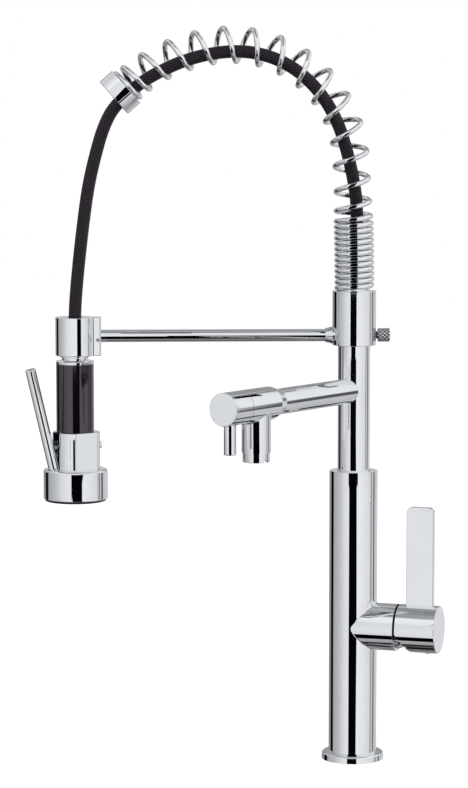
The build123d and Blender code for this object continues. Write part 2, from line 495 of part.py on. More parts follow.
def spring_travel(turn):
    """Distance along the arch at a turn counted from the first open one."""
    if turn <= 0:
        return OPEN_START + turn * CLOSED_PITCH
    opened = sum(openness((step + 0.5) / STEPS) for step in range(int(min(turn, OPEN_TURNS) * STEPS))) / STEPS
    return OPEN_START + turn * CLOSED_PITCH + (OPEN_PITCH - CLOSED_PITCH) * opened


def spring_point(turn):
    """The wire's centre at a turn: right handed about the arch, whole turns at the outside of the bend."""
    place, _, outward = arch_point(spring_travel(turn))
    shrink = smooth_step(turn / SPREAD_TURNS)
    radius = COIL_R_CLOSED + (COIL_R_OPEN - COIL_R_CLOSED) * shrink
    angle = 2 * pi * turn
    return place + outward * (radius * cos(angle)) + Vector(0, 1, 0) * (radius * sin(angle))


def biarc(start, start_way, end, end_way):
    """Two arcs that leave start and reach end in the given directions and meet tangentially."""
    chord = end - start
    both = start_way + end_way
    square = 2 * (start_way.dot(end_way) - 1)
    along = chord.dot(both)
    arm = (along - sqrt(along**2 - square * chord.dot(chord))) / square
    first, second = start + start_way * arm, end - end_way * arm
    joint = (first + second) / 2
    arcs = []
    for a, corner, b in ((start, first, joint), (joint, second, end)):
        middle = (a + b) / 2
        half, height = (b - a).length / 2, (corner - middle).length
        rise = half * tan(atan2(height, half) / 2)
        arcs.append(ThreePointArc(a, middle + (corner - middle).normalized() * rise, b))
    return arcs


def least_gap(points, gap_steps):
    """Least distance between points more than gap_steps apart, less the wire."""
    least = 1e9
    for i, a in enumerate(points):
        for b in points[i + gap_steps:i + 4 * gap_steps]:
            least = min(least, (a - b).length)
    return least - WIRE_D


def spring():
    """The arch spring: one wire, swept along biarcs of a quarter turn."""
    first, last = -CLOSED_TURNS, OPEN_TURNS + END_TURNS
    quarters = round(4 * (last - first))
    turns = [first + (last - first) * i / quarters for i in range(quarters + 1)]
    nudge = 1 / STEPS
    points = [spring_point(turn) for turn in turns]
    ways = [(spring_point(turn + nudge) - spring_point(turn - nudge)).normalized() for turn in turns]
    edges = []
    for i in range(quarters):
        edges += biarc(points[i], ways[i], points[i + 1], ways[i + 1])
    path = Wire(edges)
    section = Plane(origin=points[0], z_dir=ways[0]) * Circle(WIRE_D / 2)
    solid = sweep(section, path=path)
    expected = pi * WIRE_D**2 / 4 * path.length
    fine = [spring_point(first + (last - first) * i / (quarters * 6)) for i in range(quarters * 6 + 1)]
    print(f"spring: {last - first:.2f} turns, wire {path.length:.0f} mm, open pitch {OPEN_PITCH:.2f}, "
          f"least self gap {least_gap(fine, 16):.2f}, volume/expected {solid.volume / expected:.4f}")
    return solid


def hose(route, name):
    """A hose tube along straight runs and tangent arcs, with its radii and length printed."""
    points = [Vector(-r, 0, z) for r, z in route]
    runs = [(b - a).length for a, b in zip(points, points[1:])]
    radii = []
    for i in range(1, len(points) - 1):
        turn = (points[i] - points[i - 1]).get_angle(points[i + 1] - points[i])
        radii.append(0.45 * min(runs[i - 1], runs[i]) / tan(radians(max(turn, 0.2)) / 2))
    path = FilletPolyline(*points, radius=radii)
    section = Plane(origin=points[0], z_dir=points[1] - points[0]) * Circle(HOSE_D / 2)
    solid = sweep(section, path=path)
    expected = pi * HOSE_D**2 / 4 * path.length
    print(f"{name}: length {path.length:.1f}, least radius {min(radii):.0f}, radii "
          f"{[round(radius) for radius in radii]}, volume/expected {solid.volume / expected:.4f}")
    return solid


def arch_pieces():
    """Spring seat, spring, ferrule and the two stretches of the hose."""
    stub, bore = SEAT_D / 2, HOSE_D / 2 + FREE
    shelf = COLLAR_Z[1] - COLLAR_TOP_WALL
    seat = turned(
        (bore, shelf), (stub - 0.4, shelf), (stub - 0.4, COLLAR_Z[1]), (stub, COLLAR_Z[1]), (stub, SEAT_TOP),
        (bore, SEAT_TOP), rounds=((4, 0.8),),
    )
    place, way, outward = arch_point(arch_length())
    cup = FERRULE_CUP
    ferrule = turned(
        (COIL_R_OPEN - WIRE_D / 2 - 0.2, cup), (COIL_R_OPEN + WIRE_D / 2 + 0.3, cup),
        (COIL_R_OPEN + WIRE_D / 2 + 0.3, 0), (FERRULE_D / 2, 0), (FERRULE_D / 2, FERRULE_L), (0, FERRULE_L),
        (0, FERRULE_L - FERRULE_PLATE), (COIL_R_OPEN - WIRE_D / 2 - 0.2, FERRULE_L - FERRULE_PLATE),
        rounds=((4, 0.7), (3, 0.3)),
    )
    ferrule -= Pos(-HOSE_EXIT_OFFSET, 0, 0) * rod(HOSE_D / 2 + FREE, 0, FERRULE_L)
    spring_end = spring_travel(OPEN_TURNS + END_TURNS) - arch_length() + WIRE_D / 2
    ferrule_start = place + way * (spring_end + SEATED - cup)
    ferrule_place = Plane(origin=ferrule_start, x_dir=outward, z_dir=way).location
    crimp = tube(CRIMP_D / 2, HOSE_BORE_D / 2, HOSE_ARCH[0][1] - CRIMP_L, HOSE_ARCH[0][1])
    joint = HOSE_ARCH[-1]
    return {
        "spring_seat": seat, "arch_spring": spring(), "spring_ferrule": ferrule_place * ferrule,
        "hose_upper": hose(HOSE_ARCH, "hose_upper"), "hose_drop": hose((joint,) + HOSE_FREE, "hose_drop"),
        "hose_inlet_crimp": crimp,
    }


# ---------------------------------------------------------------- spray head
def head_outline(grow=0.0):
    """The head's section: a round with two side flats and a slot for the trigger, grown by a clearance."""
    disc = Pos(-HEAD_BACK, 0) * Circle(HEAD_D / 2 + grow)
    disc &= Rectangle(2 * HEAD_D, HEAD_FLATS + 2 * grow)
    return disc - Pos(SLOT_FLOOR + 2 * grow + HEAD_D / 2, 0) * Rectangle(HEAD_D, SLOT_W)


def dock_pieces():
    """The nut that docks in the sleeve and the crimp on the hose's end."""
    bore = GRIP_NECK_D / 2 + RUNNING
    nut = turned(
        (bore, NECK_FOOT), (NECK_D / 2, NECK_FOOT), (NECK_D / 2, NECK_STEP_Z[0]), (NECK_STEP_D / 2, NECK_STEP_Z[1]),
        (NECK_STEP_D / 2, SLEEVE_Z[0] - FREE), (DOCK_FOOT_D / 2, SLEEVE_Z[0] - FREE), (DOCK_TOP_D / 2, DOCK_TOP),
        (bore, DOCK_TOP),
    )
    crimp = tube(bore - SEATED, HOSE_D / 2 + SEATED, CRIMP_SHOULDER, DOCK_TOP - 1)
    crimp += tube(bore - SEATED, HOSE_BORE_D / 2, CRIMP_FOOT, CRIMP_SHOULDER)
    return {"docking_nut": HEAD * nut, "hose_crimp": HEAD * crimp}


def grip_pieces():
    """Chrome ring, black grip sleeve and the water tube inside them."""
    ring_r, low, high = GRIP_RING_D / 2, *GRIP_RING_Z
    neck = GRIP_NECK_D / 2
    ring = turned(
        (neck + SEATED, low), (ring_r, low), (ring_r, high - GRIP_RING_BEVEL), (ring_r - GRIP_RING_BEVEL, high),
        (neck + SEATED, high),
    )
    inner = GRIP_TUBE_D / 2 + SEATED
    grip = turned(
        (inner, GRIP_FOOT), (GRIP_D / 2, GRIP_FOOT), (GRIP_D / 2, low), (inner, low), rounds=((1, 0.4), (2, 0.4)),
    )
    water = turned(
        (GRIP_TUBE_BORE / 2, GRIP_FOOT - 8), (GRIP_TUBE_D / 2, GRIP_FOOT - 8), (GRIP_TUBE_D / 2, low),
        (neck, low), (neck, CRIMP_FOOT - FREE), (HOSE_BORE_D / 2, CRIMP_FOOT - FREE), (HOSE_BORE_D / 2, low),
        (GRIP_TUBE_BORE / 2, low - 3),
    )
    return {"grip_ring": HEAD * ring, "grip_sleeve": HEAD * grip, "grip_tube": HEAD * water}


def head_pieces():
    """Head body, bell, rubber rim, diffuser and spray plate."""
    low, high = HEAD_BASE_Z
    body = Pos(0, 0, high) * extrude(head_outline(), amount=GRIP_FOOT - high)
    body = fillet(body.edges().group_by(Axis.Z)[-1], 0.6)
    upright = body.edges().filter_by(Axis.Z).filter_by(lambda e: abs(e.center().Y) > HEAD_FLATS / 2 - 1)
    body = fillet(upright, 0.8)
    body += rod(BELL_D / 2 - BELL_WALL - HEAD_BASE_GAP, low, high)
    pocket = Pos(SLOT_FLOOR, 0, low) * extrude(
        Pos(HEAD_D / 2, 0) * Rectangle(HEAD_D, SLOT_W), amount=high - low
    )
    body -= pocket
    body -= rod(GRIP_TUBE_D / 2 + SEATED, GRIP_FOOT - 8, GRIP_FOOT)
    body -= rod(GRIP_TUBE_BORE / 2, VALVE_PIN_Z, GRIP_FOOT)
    cross = Plane(origin=(0, 0, VALVE_PIN_Z), x_dir=(0, 0, 1), z_dir=(1, 0, 0)).location
    body -= cross * rod(VALVE_CHAMBER_D / 2, -HEAD_D, 6.0)
    body -= cross * rod(VALVE_PIN_D / 2 + 2, 6.0, HEAD_D / 2 + 2)
    body -= Pos(-9, 0, 0) * rod(WATERWAY_R, low, VALVE_PIN_Z)
    pivot = Pos(TRIGGER_PIVOT[0], 0, TRIGGER_PIVOT[1]) * Rot(90, 0, 0)
    body -= pivot * Cylinder(PIVOT_PIN_D / 2 + SEATED, PIVOT_PIN_L + 0.2)
    pin = pivot * Cylinder(PIVOT_PIN_D / 2, PIVOT_PIN_L)

    outer, inner = BELL_D / 2, BELL_D / 2 - BELL_WALL
    bell = turned(
        (0, high + SEATED), (inner, high + SEATED), (inner, BELL_FOOT), (outer, BELL_FOOT), (outer, HEAD_FOOT),
        (0, HEAD_FOOT), rounds=((4, BELL_ROUND), (3, 0.4)),
    )
    bell -= Pos(0, 0, high) * extrude(head_outline(SEATED), amount=HEAD_FOOT - high + 1)
    slot_end = 7.8  # centre of the slot's round end, from the slot's floor
    lever_slot = Pos(SLOT_FLOOR, 0) * (
        Pos(slot_end / 2, 0) * Rectangle(slot_end, SLOT_W) + Pos(slot_end, 0) * Circle(SLOT_W / 2)
    )
    bell -= Pos(0, 0, TRIGGER_PIVOT[1] - 2) * extrude(lever_slot, amount=HEAD_FOOT - low)

    rim_r, rim_bore = outer - RIM_INSET, inner - RIM_WALL
    lip_top = BELL_FOOT + RIM_LIP
    rim = turned(
        (rim_bore, RIM_FOOT), (rim_r, RIM_FOOT), (rim_r, BELL_FOOT), (inner - SEATED, BELL_FOOT),
        (inner - SEATED, lip_top), (rim_bore, lip_top), rounds=((1, 1.2), (0, 0.8)),
    )
    diffuser = rod(inner - 0.3, lip_top + 0.05, low) - rod(inner - 3, lip_top, low - 3)
    plate = rod(rim_bore - SEATED, PLATE_FOOT, lip_top) + rod(inner - 3.2, lip_top, lip_top + 2)
    tips = []
    spread = (rim_bore - NOZZLE_EDGE - NOZZLE_FIRST) / (len(NOZZLE_ROWS) - 1)
    for row, count in enumerate(NOZZLE_ROWS):
        ring = NOZZLE_FIRST + row * spread
        for i in range(count):
            spot = Rot(0, 0, 360 * i / count) * Pos(ring, 0, 0)
            plate -= spot * rod(NOZZLE_D / 2, PLATE_FOOT, PLATE_FOOT + 2)
            tip = Cone(NOZZLE_D / 2 - SEATED, NOZZLE_D / 2 - 0.4, NOZZLE_L + 1.6)
            tips.append(spot * Pos(0, 0, PLATE_FOOT + 0.3) * Rot(180, 0, 0) * tip)
    plate -= rod(CENTRE_SCREW_D / 2 + SEATED, PLATE_FOOT, PLATE_FOOT + 1.5)
    screw = rod(CENTRE_SCREW_D / 2, PLATE_FOOT + 0.2, PLATE_FOOT + 1.5)
    screw -= Pos(0, 0, PLATE_FOOT + 0.2) * Box(0.9, CENTRE_SCREW_D, 1.2)
    pieces = {
        "head_body": body, "trigger_pivot": pin, "bell": bell, "bell_rim": rim, "diffuser": diffuser,
        "spray_plate": plate, "nozzle_tips": Compound(children=tips), "plate_screw": screw,
    }
    return {name: HEAD * solid for name, solid in pieces.items()}


def trigger_pieces():
    """The trigger rod, the valve pin it pushes, the pin's guide, and the cap at the valve's rear."""
    radius, foot = TRIGGER_D / 2, TRIGGER_PIVOT
    length = (TRIGGER_TOP - foot[1]) / cos(radians(TRIGGER_LEAN))
    lean = Pos(foot[0], 0, foot[1]) * Rot(0, TRIGGER_LEAN, 0)
    lever = lean * turned((0, 0), (radius, 0), (radius, length), (0, length), rounds=((2, 0.9),))
    eye = Pos(foot[0], 0, foot[1]) * Rot(90, 0, 0)
    lever += eye * Cylinder(radius, TRIGGER_EYE_W)
    lever -= eye * Cylinder(PIVOT_PIN_D / 2 + RUNNING, TRIGGER_D)

    pin_r, chamber = VALVE_PIN_D / 2, VALVE_CHAMBER_D / 2
    rear = HEAD_D / 2 + HEAD_BACK
    tip = turned(
        (0, -8), (POPPET_D / 2, -8), (POPPET_D / 2, -5), (pin_r, -5), (pin_r, VALVE_PIN_END), (0, VALVE_PIN_END),
        rounds=((4, pin_r * 0.9),),
    )
    guide = tube(pin_r + 2 - SEATED, pin_r + RUNNING, 6.0, SLOT_FLOOR) + tube(
        pin_r + 2.6, pin_r + RUNNING, SLOT_FLOOR, SLOT_FLOOR + 1.2
    )
    cap = turned(
        (0, -rear - REAR_CAP_PROUD), (REAR_CAP_D / 2, -rear - REAR_CAP_PROUD), (REAR_CAP_D / 2, -rear + 1.2),
        (chamber - SEATED, -rear + 1.2), (chamber - SEATED, -14), (0, -14), rounds=((1, 1.2),),
    )
    across = sideways(VALVE_PIN_Z)
    return {
        "trigger_lever": HEAD * lever, "valve_pin": across * tip, "pin_guide": across * guide,
        "valve_cap": across * cap,
    }


def main():
    """Builds every piece and writes one STEP file for each."""
    pieces = {}
    for group in (
        base_pieces, mixer_valve, mixer_lever, column_pieces, spout_valve, bracket_pieces, arch_pieces, dock_pieces,
        grip_pieces, head_pieces, trigger_pieces,
    ):
        pieces.update(group())
    for name, piece in pieces.items():
        export_step(piece, f"parts/{name}.step")
    print(len(pieces), "pieces")


main()
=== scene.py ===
"""Looks of the side spray kitchen faucet, in metres and in the frame of its CAD model.

Chrome in a striped studio, and a braided hose that a chrome spring carries.
"""

import json
from math import cos, degrees, pi, radians, sin

import bpy
import numpy as np
from mathutils import Matrix, Vector


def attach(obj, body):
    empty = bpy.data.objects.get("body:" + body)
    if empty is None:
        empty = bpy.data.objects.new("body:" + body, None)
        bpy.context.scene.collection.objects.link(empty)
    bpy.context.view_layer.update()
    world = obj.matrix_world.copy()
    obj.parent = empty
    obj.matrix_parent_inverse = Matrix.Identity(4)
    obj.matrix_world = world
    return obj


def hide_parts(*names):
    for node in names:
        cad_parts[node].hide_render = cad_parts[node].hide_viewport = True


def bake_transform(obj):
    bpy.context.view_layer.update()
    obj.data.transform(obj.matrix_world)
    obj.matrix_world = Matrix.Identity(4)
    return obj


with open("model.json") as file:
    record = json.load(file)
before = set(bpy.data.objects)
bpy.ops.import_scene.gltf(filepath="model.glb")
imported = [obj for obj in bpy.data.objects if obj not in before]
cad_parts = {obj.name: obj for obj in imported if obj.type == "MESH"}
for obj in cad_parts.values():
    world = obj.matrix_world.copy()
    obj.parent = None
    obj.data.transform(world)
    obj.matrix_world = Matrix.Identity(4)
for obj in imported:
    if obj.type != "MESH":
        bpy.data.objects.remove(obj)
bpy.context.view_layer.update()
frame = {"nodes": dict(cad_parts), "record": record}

MM = 0.001
ACROSS = np.array((0.0, 1.0, 0.0))  # out of the XZ plane, in which the spring and the hose lie

# Camera of the photograph: its distance and tilt were solved from the ellipses of the round pieces.
VIEW_YAW, VIEW_DROP, VIEW_DISTANCE = radians(-2.5), radians(5.9), 2.412
VIEW_TARGET = (-0.1030, 0.0, 0.3181)
VIEW_LENS, VIEW_SENSOR, VIEW_END = 128.2, 36.0, 50  # lens and sensor in millimetres
VIEW_HEADING = degrees(VIEW_YAW) - 90.0  # compass direction from the faucet to the camera

# Spring arch, wound as in the CAD model but from a thicker wire. Turns are counted from where the
# closed ones end, and the pitch opens over SPREAD_TURNS and closes again over GATHER_TURNS.
WIRE_R = 2.22 * MM
COLLAR_TOP = 407.2 * MM
CLOSED_PITCH, CLOSED_TURNS, OPEN_TURNS, END_TURNS = 4.75 * MM, 11.6, 16, 0.45
COIL_R_CLOSED, COIL_R_OPEN = 14.88 * MM, 13.98 * MM
SPREAD_TURNS, GATHER_TURNS = 3.2, 2.3
SPRING_START = 2.1 * MM  # of the wire's centre, above the collar
WIRE_RINGS, WIRE_SIDES, PITCH_STEPS = 2400, 20, 4001
# Arcs of its centre line: radius in metres, and degrees from the vertical at the arc's end.
ARCH_ARCS = ((1.9, 3.4), (0.10215, 96.8), (0.1409, 131.5))

# Hose route as (distance from the column's axis, height): inside the spring, then hanging free.
HOSE_R, HOSE_SIDES, HOSE_STEP, ROUTE_STEPS = 5.4 * MM, 64, 0.8 * MM, 48
HOSE_ARCH = (
    (0.0, 0.400), (0.0, 0.425), (-0.0010, 0.450), (-0.0024, 0.476), (0.0006, 0.500),
    (0.0066, 0.526), (0.0146, 0.551), (0.0278, 0.5736), (0.0456, 0.5922), (0.0676, 0.6050),
    (0.0926, 0.6109), (0.1184, 0.6096), (0.1438, 0.6034), (0.1664, 0.5934), (0.1841, 0.5829),
    (0.1961, 0.5719),
)
HOSE_FREE = (
    (0.1961, 0.5719), (0.2057, 0.5631), (0.2146, 0.5450), (0.2214, 0.5210), (0.2270, 0.4970),
    (0.2314, 0.4660), (0.2353, 0.4330), (0.2380, 0.4050), (0.2392, 0.3850), (0.2392, 0.3580),
)
BRAID_AROUND, BRAID_PITCH = 12, 3.8 * MM  # cells of the braid round the hose, and length of one

# Thumb screw at the collar's right: its height, and its profile before and after the knurl as
# (place along X from the column's axis, radius).
THUMB_Z = 369 * MM
THUMB_STEM = np.array((
    (16.45, 3.0), (19.05, 3.0), (19.05, 3.25), (20.35, 3.25), (20.35, 5.35), (20.35, 5.45),
)) * MM
THUMB_END = np.array(((30.35, 5.45), (30.35, 5.25), (30.10, 4.95), (30.10, 0.4))) * MM
KNURL_FROM, KNURL_TO, KNURL_RINGS, THUMB_SIDES = 20.85 * MM, 29.85 * MM, 56, 208
KNURLS, KNURL_R, KNURL_PITCH, KNURL_DEPTH = 10, 5.95 * MM, 3.6 * MM, 0.5 * MM
KNURL_START, KNURL_SHARPNESS = 20.35 * MM, 1.5

# Cheeks of the spray head: its round body has two flats, CHEEK_FACE off its axis, which lies
# HEAD_BACK behind the bell's.
HEAD_X, HEAD_TURN, HEAD_BACK, HEAD_R = -239.2 * MM, radians(211.5), 0.8 * MM, 20.32 * MM
CHEEK_ROOT, CHEEK_FACE, CHEEK_ROUND = 14.3 * MM, 17.3 * MM, 0.8 * MM
CHEEK_FOOT, CHEEK_TOP, CHEEK_TOP_ROUND = 254.95 * MM, 286.9 * MM, 0.6 * MM
CHEEK_FOOT_RING, CHEEK_TOP_RING = 0.1 * MM, 0.2 * MM  # close rings that keep the end faces flat
ROUND_STEPS, FILLET_STEPS, FLAT_STEPS, TOP_STEPS = 12, 10, 14, 8


# ---------------------------------------------------------------- shader building
class Value:
    """A shader socket with arithmetic."""

    def __init__(self, build, socket):
        self.build, self.socket = build, socket

    def math(self, operation, *others):
        inputs = dict(enumerate((self, *others)))
        return self.build.add("ShaderNodeMath", {"operation": operation}, inputs)

    def __add__(self, other):
        return self.math("ADD", other)

    def __mul__(self, other):
        return self.math("MULTIPLY", other)

    def __sub__(self, other):
        return self.math("SUBTRACT", other)

    def __rsub__(self, other):
        return self.build.add("ShaderNodeMath", {"operation": "SUBTRACT"}, {0: other, 1: self})

    __radd__, __rmul__ = __add__, __mul__

    def wave(self):
        """Cosine of as many full turns."""
        return (self * (2 * pi)).math("COSINE")

    def step(self, start, end):
        """0 before start, 1 after end, smooth between."""
        return self.build.add(
            "ShaderNodeMapRange", {"interpolation_type": "SMOOTHSTEP"},
            {"Value": self, "From Min": start, "From Max": end},
        )

    def band(self, start, end, soft):
        """1 between start and end, with soft edges."""
        return self.step(start - soft, start + soft) * (1 - self.step(end - soft, end + soft))


class Build:
    """Adds nodes to one node tree."""

    def __init__(self, tree):
        self.tree = tree
        tree.nodes.clear()

    def add(self, kind, settings=None, inputs=None, out=0):
        """A node: its settings first, then its sockets' values or links. Returns one output."""
        node = self.tree.nodes.new(kind)
        for name, value in (settings or {}).items():
            if name == "stops":
                ramp = node.color_ramp
                while len(ramp.elements) < len(value):
                    ramp.elements.new(0.5)
                for element, (place, colour) in zip(ramp.elements, value):
                    element.position, element.color = place, colour
            else:
                setattr(node, name, value)
        for name, value in (inputs or {}).items():
            if isinstance(value, Value):
                self.tree.links.new(value.socket, node.inputs[name])
            else:
                node.inputs[name].default_value = value
        return Value(self, node.outputs[out]) if node.outputs else None

    def outputs(self, kind, names, inputs=None):
        """Several outputs of one node."""
        node = self.add(kind, {}, inputs).socket.node
        return [Value(self, node.outputs[name]) for name in names]

    def parts(self, vector):
        """The three parts of a vector."""
        return self.outputs("ShaderNodeSeparateXYZ", range(3), {0: vector})

    def mix(self, share, first, second):
        """A colour between two others."""
        inputs = {0: share, 6: first, 7: second}
        return self.add("ShaderNodeMix", {"data_type": "RGBA"}, inputs, out=2)

    def noise(self, scale, detail):
        """Fractal noise on the piece's own coordinates, about 0 to 1."""
        where = self.add("ShaderNodeTexCoord", out="Object")
        inputs = {"Vector": where, "Scale": scale, "Detail": detail}
        return self.add("ShaderNodeTexNoise", {}, inputs, out="Fac")

    def bump(self, height, distance):
        """A normal from a height and the distance that a height of 1 stands for."""
        return self.add("ShaderNodeBump", {}, {"Height": height, "Distance": distance})


def material(name):
    """A new material, with the builder of its node tree."""
    made = bpy.data.materials.new(name)
    made.use_nodes = True
    return made, Build(made.node_tree)


def principled(build, **sockets):
    """Adds the Principled shader, with words for its sockets, and the output."""
    inputs = {name.replace("_", " "): value for name, value in sockets.items()}
    shader = build.add("ShaderNodeBsdfPrincipled", {}, inputs)
    build.add("ShaderNodeOutputMaterial", {}, {"Surface": shader})


def rgb(red, green, blue):
    return (red, green, blue, 1.0)


# ---------------------------------------------------------------- materials
# Noises as (features per metre, detail).
HAZE, SPOTS, WAVES = (38.0, 3.0), (420.0, 2.0), (55.0, 1.0)  # on polished plate
WEAR, MARKS, MARK_PATCHES = (700.0, 2.0), (900.0, 2.0), (70.0, 3.0)  # on machined metal
GRAIN, GRAIN_PATCHES = (1500.0, 2.0), (45.0, 2.0)  # on moulded pieces
LACQUER_HAZE, LACQUER_WAVES = (60.0, 2.0), (120.0, 1.0)
BRAID_PATCHES = (160.0, 3.0)

# How far each noise dulls what it lies on, and how high it stands.
HAZE_RANGE, HAZE_SHADE, HAZE_ROUGH, SPOTS_ROUGH = (0.35, 0.75), 0.965, 0.03, 0.012
WEAR_ROUGH, WEAR_HEIGHT = 0.12, 0.00001
MARKS_SHADE, MARKS_ROUGH, MARKS_HEIGHT = 0.7, 0.15, 0.00002
GRAIN_SHADE, GRAIN_ROUGH, GRAIN_HEIGHT = 0.82, 0.08, 0.00001
PLATE, PLATE_ROUGH, PLATE_WAVE = (0.83, 0.84, 0.86), 0.015, 0.0000012

# Painted shade, a dull dark band, in the gap between the mixer's housing and its lever cap: the
# gap's ends along the valve's axis with the band's softness, and the heights between which it fades
# out.
SEAM_AXIS, SEAM, SEAM_FADE = (0.93667, -0.35021), (0.04025, 0.0429, 0.00008), (0.1080, 0.1092)
# Dark dull colour of the painted shade in the gap, its roughness, and the plate's hazed tone.
GAP_SHADE, GAP_SHADE_ROUGH, HAZED_PLATE = (0.006, 0.005, 0.006), 0.6, (0.80, 0.81, 0.83)

# Knurl: its bright crowns, the painted shade that darkens its grooves, and where in their depth it
# sets in.
CROWN, CROWN_ROUGH = (0.78, 0.78, 0.80), 0.16
GROOVE_SHADE, GROOVE_ROUGH, GROOVE_RANGE = (0.012, 0.012, 0.014), 0.45, (0.35, 0.75)
GROOVE_LOSS = 0.9  # how much of the metal's mirror the black takes

# Lacquer of the grip, and the braid: darkest and lightest colour, and a violet tint of their shine.
LACQUER_DARK, LACQUER_LIGHT, LACQUER_TINT = (0.003, 0.001, 0.004), (0.005, 0.002, 0.006), 0.86
LACQUER_IOR, LACQUER_ROUGH, LACQUER_HEIGHT = 1.85, 0.05, 0.00001
# The braid's lightest colour, and the crowns' even and patchy shares of it, are a painted highlight
# where the strands cross.
BRAID_DARK, BRAID_HIGHLIGHT, BRAID_TINT = (0.003, 0.002, 0.003), (0.058, 0.040, 0.060), 0.84
BRAID_CROWN, BRAID_ROUGH, BRAID_DULL, BRAID_SHINE = (0.30, 0.95), 0.26, 0.30, 0.42
BRAID_EVEN, BRAID_PATCHY = 0.30, 0.70  # share of the crowns' colour that is even, and patchy
STRANDS, WEAVE_SHARE, STRAND_SHARE, BRAID_HEIGHT = 3, 0.5, 0.06, 0.00045


def chrome(name, colour, rough, wave):
    """Polished plate: faint polishing haze and a slight waviness of the polished metal."""
    made, build = material(name)
    haze = build.noise(*HAZE)
    hazed = rgb(*(part * HAZE_SHADE for part in colour))
    principled(
        build, Base_Color=build.mix(haze.step(*HAZE_RANGE), rgb(*colour), hazed), Metallic=1.0,
        Roughness=rough + haze * HAZE_ROUGH + build.noise(*SPOTS) * SPOTS_ROUGH,
        Normal=build.bump(build.noise(*WAVES), wave),
    )
    return made


def seamed_chrome():
    """Polished plate with painted shade, a dull dark band of colour, in the gap under the lever
    cap.
    """
    made, build = material("seamed_chrome")
    haze = build.noise(*HAZE)
    x, y, z = build.parts(build.add("ShaderNodeTexCoord", out="Object"))
    # Painted shade: a dark dull band where the gap under the lever cap lies in shadow.
    gap_shade = (x * SEAM_AXIS[0] + y * SEAM_AXIS[1]).band(*SEAM) * z.step(*SEAM_FADE)
    plate = build.mix(haze.step(*HAZE_RANGE), rgb(*PLATE), rgb(*HAZED_PLATE))
    principled(
        build, Base_Color=build.mix(gap_shade, plate, rgb(*GAP_SHADE)), Metallic=1 - gap_shade,
        Roughness=PLATE_ROUGH + haze * HAZE_ROUGH + gap_shade * GAP_SHADE_ROUGH,
        Normal=build.bump(build.noise(*WAVES), PLATE_WAVE),
    )
    return made


def knurled_steel():
    """Bright crowns of a diamond knurl, with painted shade in its grooves.

    It is painted dark where either of the two families of grooves is deep.
    """
    made, build = material("knurled_steel")
    climb, sweep, _ = build.parts(build.add("ShaderNodeUVMap", {"uv_map": "wrap"}))
    up, down = (turns.wave() * -1.0 for turns in (climb + sweep, climb - sweep))
    # Painted shade: the grooves' colour turns dark and loses most of the metal's mirror.
    groove = up.math("MAXIMUM", down).step(*GROOVE_RANGE)
    worn = build.noise(*WEAR)
    principled(
        build, Base_Color=build.mix(groove, rgb(*CROWN), rgb(*GROOVE_SHADE)),
        Metallic=1 - groove * GROOVE_LOSS,
        Roughness=CROWN_ROUGH + GROOVE_ROUGH * groove + worn * WEAR_ROUGH,
        Normal=build.bump(worn, WEAR_HEIGHT),
    )
    return made


def turned_metal(name, colour, rough):
    """Machined metal with fine tool marks and darker patches."""
    made, build = material(name)
    marks = build.noise(*MARKS)
    patched = rgb(*(part * MARKS_SHADE for part in colour))
    principled(
        build, Base_Color=build.mix(build.noise(*MARK_PATCHES), rgb(*colour), patched),
        Metallic=1.0, Roughness=rough + marks * MARKS_ROUGH,
        Normal=build.bump(marks, MARKS_HEIGHT),
    )
    return made


def moulded(name, colour, rough):
    """Moulded plastic or rubber with a fine surface grain."""
    made, build = material(name)
    grain = build.noise(*GRAIN)
    patched = rgb(*(part * GRAIN_SHADE for part in colour))
    principled(
        build, Base_Color=build.mix(build.noise(*GRAIN_PATCHES), rgb(*colour), patched),
        Roughness=rough + grain * GRAIN_ROUGH, Normal=build.bump(grain, GRAIN_HEIGHT),
    )
    return made


def grip_plastic():
    """Glossy purple-black lacquer over the grip."""
    made, build = material("grip_black")
    haze = build.noise(*LACQUER_HAZE)
    principled(
        build, Base_Color=build.mix(haze, rgb(*LACQUER_DARK), rgb(*LACQUER_LIGHT)),
        IOR=LACQUER_IOR, Specular_Tint=rgb(1.0, LACQUER_TINT, 1.0),
        Roughness=LACQUER_ROUGH + haze * HAZE_ROUGH,
        Normal=build.bump(build.noise(*LACQUER_WAVES), LACQUER_HEIGHT),
    )
    return made


def braid():
    """Dark nylon braid: two families of strands cross, and the crossings are painted lighter, a
    painted highlight.
    """
    made, build = material("hose_braid")
    along, around, _ = build.parts(build.add("ShaderNodeUVMap", {"uv_map": "wrap"}))
    weave = along.wave() * around.wave()
    strand = ((along + around) * STRANDS).wave()
    crown = weave.step(*BRAID_CROWN)
    # Painted highlight: the crowns of the weave get a lighter base colour, evenly and in patches.
    share = crown * (BRAID_EVEN + BRAID_PATCHY * build.noise(*BRAID_PATCHES))
    principled(
        build, Base_Color=build.mix(share, rgb(*BRAID_DARK), rgb(*BRAID_HIGHLIGHT)),
        Roughness=BRAID_ROUGH + BRAID_DULL * (1 - crown), Specular_IOR_Level=BRAID_SHINE,
        Specular_Tint=rgb(1.0, BRAID_TINT, 1.0),
        Normal=build.bump(weave * WEAVE_SHARE + strand * STRAND_SHARE, BRAID_HEIGHT),
    )
    return made


